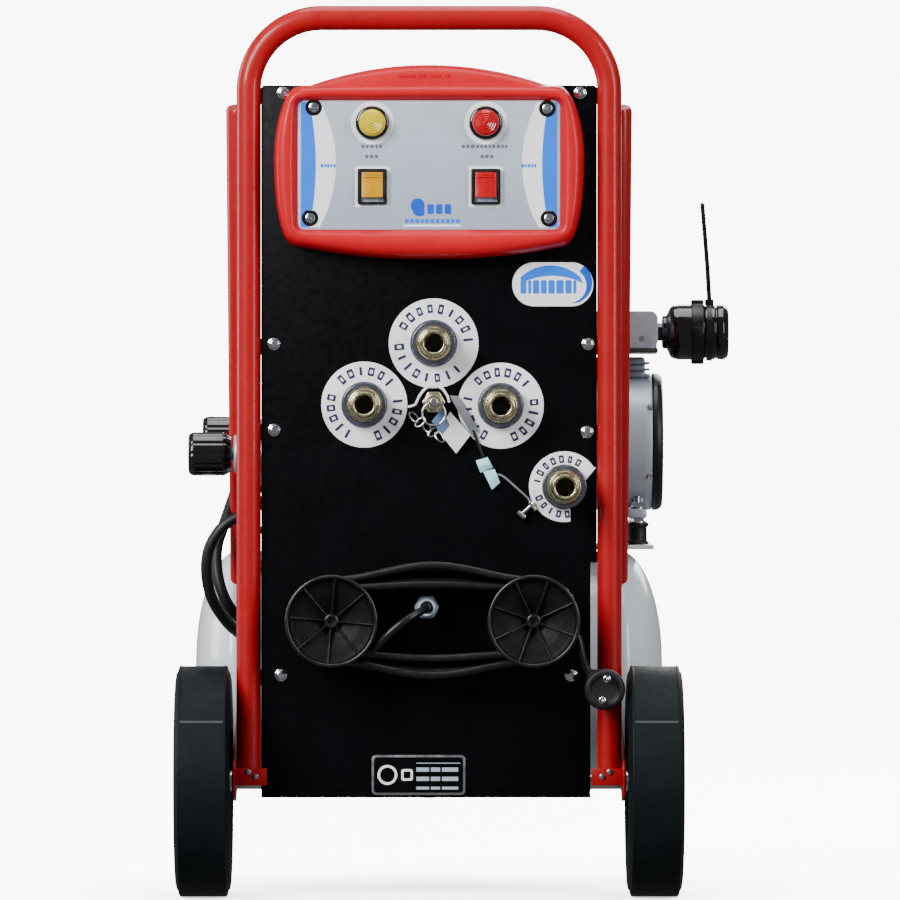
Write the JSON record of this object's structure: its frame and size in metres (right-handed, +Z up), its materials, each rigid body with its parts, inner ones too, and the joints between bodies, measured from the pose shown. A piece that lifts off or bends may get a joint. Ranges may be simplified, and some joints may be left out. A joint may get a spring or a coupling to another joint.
{
  "type": "air compressor",
  "caption": "Wheeled oil-free air compressor: tube hoop, control panel with quick couplers, cord hooks, horizontal tank and twin piston pump.",
  "frame": {"origin": "on the floor, under the middle of the whole machine's bounding box", "axes": "+Z up, +X to the right as the user faces the panel, +Y from the panel to the tank"},
  "size_m": [0.4858, 0.4084, 0.771],
  "materials": {
    "red_powder": "glossy red powder coat",
    "bezel_red": "satin red moulded plastic",
    "panel_black": "satin black sheet",
    "tank_grey": "pale grey paint",
    "cast_aluminium": "bead-blasted casting",
    "zinc_steel": "bright zinc plate",
    "chrome": "polished",
    "brass": "machined brass",
    "black_plastic": "fine-grained moulded plastic",
    "black_gloss": "glossy moulded plastic",
    "black_rubber": "matt black rubber",
    "tyre": "charcoal solid rubber tread",
    "wheel_plastic": "charcoal moulded hub",
    "face_grey": "silver-grey printed face",
    "gland_grey": "light grey nylon",
    "lens_amber": "translucent amber",
    "lens_red": "translucent red"
  },
  "bodies": {
    "chassis": {"front_hoop": "red_powder", "rear_stay_left": "red_powder", "rear_stay_right": "red_powder", "axle_bracket_left": "red_powder", "axle_bracket_right": "red_powder", "rear_stand": "red_powder", "rear_foot_left": "black_rubber", "rear_foot_right": "black_rubber", "rubber_mount_left_front": "black_rubber", "rubber_mount_left_rear": "black_rubber", "rubber_mount_right_front": "black_rubber", "rubber_mount_right_rear": "black_rubber", "air_hose": "black_rubber", "cord_winding": "black_rubber", "cord_lead": "black_rubber", "cord_tail": "black_rubber", "plug": "black_rubber", "axle": "zinc_steel", "delivery_hose": "zinc_steel", "tank": "tank_grey", "pump_plate": "tank_grey", "relief_valve": "brass", "coupler_top": "brass", "coupler_left": "brass", "coupler_right": "brass", "coupler_low": "brass", "motor_housing": "cast_aluminium", "crankcase_left": "cast_aluminium", "crankcase_right": "cast_aluminium", "head_left": "cast_aluminium", "head_right": "cast_aluminium", "regulator_block": "cast_aluminium", "intake_filter": "black_gloss", "pressure_switch": "black_plastic", "control_housing": "black_plastic", "cord_hook_left": "black_plastic", "cord_hook_right": "black_plastic", "front_panel": "panel_black", "control_bezel": "bezel_red", "control_plate": "face_grey", "lamp_power": "lens_amber", "lamp_compressor": "lens_red", "cable_gland": "gland_grey"},
    "wheel_left": {"tyre_left": "tyre", "rim_left": "wheel_plastic"},
    "wheel_right": {"tyre_right": "tyre", "rim_right": "wheel_plastic"},
    "rocker_power": {"rocker_power": "lens_amber"},
    "rocker_compressor": {"rocker_compressor": "lens_red"},
    "sleeve_top": {"sleeve_top": "chrome"},
    "sleeve_left": {"sleeve_left": "chrome"},
    "sleeve_right": {"sleeve_right": "chrome"},
    "sleeve_low": {"sleeve_low": "chrome"},
    "knob_front": {"knob_front": "black_plastic"},
    "knob_rear": {"knob_rear": "black_plastic"},
    "drain_cock": {"drain_cock": "brass"},
    "pull_ring": {"pull_ring": "chrome"},
    "rotor": {"rotor_shaft": "zinc_steel"},
    "piston_left": {"piston_left": "cast_aluminium"},
    "piston_right": {"piston_right": "cast_aluminium"}
  },
  "joints": [
    {"name": "wheel_left_spin", "type": "hinge", "parent": "chassis", "child": "wheel_left", "pos_m": [-0.2184, -0.10425, 0.1], "axis": [1, 0, 0], "continuous": true},
    {"name": "wheel_right_spin", "type": "hinge", "parent": "chassis", "child": "wheel_right", "pos_m": [0.1722, -0.10425, 0.1], "axis": [1, 0, 0], "continuous": true},
    {"name": "rocker_power_tilt", "type": "hinge", "parent": "chassis", "child": "rocker_power", "pos_m": [-0.0721, -0.13525, 0.614], "axis": [1, 0, 0], "range_deg": [0, 24]},
    {"name": "rocker_compressor_tilt", "type": "hinge", "parent": "chassis", "child": "rocker_compressor", "pos_m": [0.0259, -0.13525, 0.614], "axis": [1, 0, 0], "range_deg": [0, 24]},
    {"name": "sleeve_top_slide", "type": "slide", "parent": "chassis", "child": "sleeve_top", "axis": [0, 1, 0], "range_m": [0, 0.004], "stiffness_N_per_m": 400},
    {"name": "sleeve_left_slide", "type": "slide", "parent": "chassis", "child": "sleeve_left", "axis": [0, 1, 0], "range_m": [0, 0.004], "stiffness_N_per_m": 400},
    {"name": "sleeve_right_slide", "type": "slide", "parent": "chassis", "child": "sleeve_right", "axis": [0, 1, 0], "range_m": [0, 0.004], "stiffness_N_per_m": 400},
    {"name": "sleeve_low_slide", "type": "slide", "parent": "chassis", "child": "sleeve_low", "axis": [0, 1, 0], "range_m": [0, 0.004], "stiffness_N_per_m": 400},
    {"name": "knob_front_turn", "type": "hinge", "parent": "chassis", "child": "knob_front", "pos_m": [-0.2131, -0.06025, 0.383], "axis": [1, 0, 0], "range_deg": [-270, 270]},
    {"name": "knob_rear_turn", "type": "hinge", "parent": "chassis", "child": "knob_rear", "pos_m": [-0.2081, 0.03775, 0.3965], "axis": [1, 0, 0], "range_deg": [-270, 270]},
    {"name": "drain_turn", "type": "hinge", "parent": "chassis", "child": "drain_cock", "pos_m": [-0.0231, 0.03975, 0.09], "axis": [0, 0, 1], "range_deg": [0, 90]},
    {"name": "pull_ring_slide", "type": "slide", "parent": "chassis", "child": "pull_ring", "axis": [0, -1, 0], "range_m": [0, 0.003], "stiffness_N_per_m": 300},
    {"name": "rotor_spin", "type": "hinge", "parent": "chassis", "child": "rotor", "pos_m": [0.0496, 0.09975, 0.393], "axis": [1, 0, 0], "continuous": true},
    {"name": "piston_left_stroke", "type": "slide", "parent": "chassis", "child": "piston_left", "axis": [0, 0, 1], "range_m": [-0.005, 0.005]},
    {"name": "piston_right_stroke", "type": "slide", "parent": "chassis", "child": "piston_right", "axis": [0, 0, 1], "range_m": [-0.005, 0.005]}
  ]
}
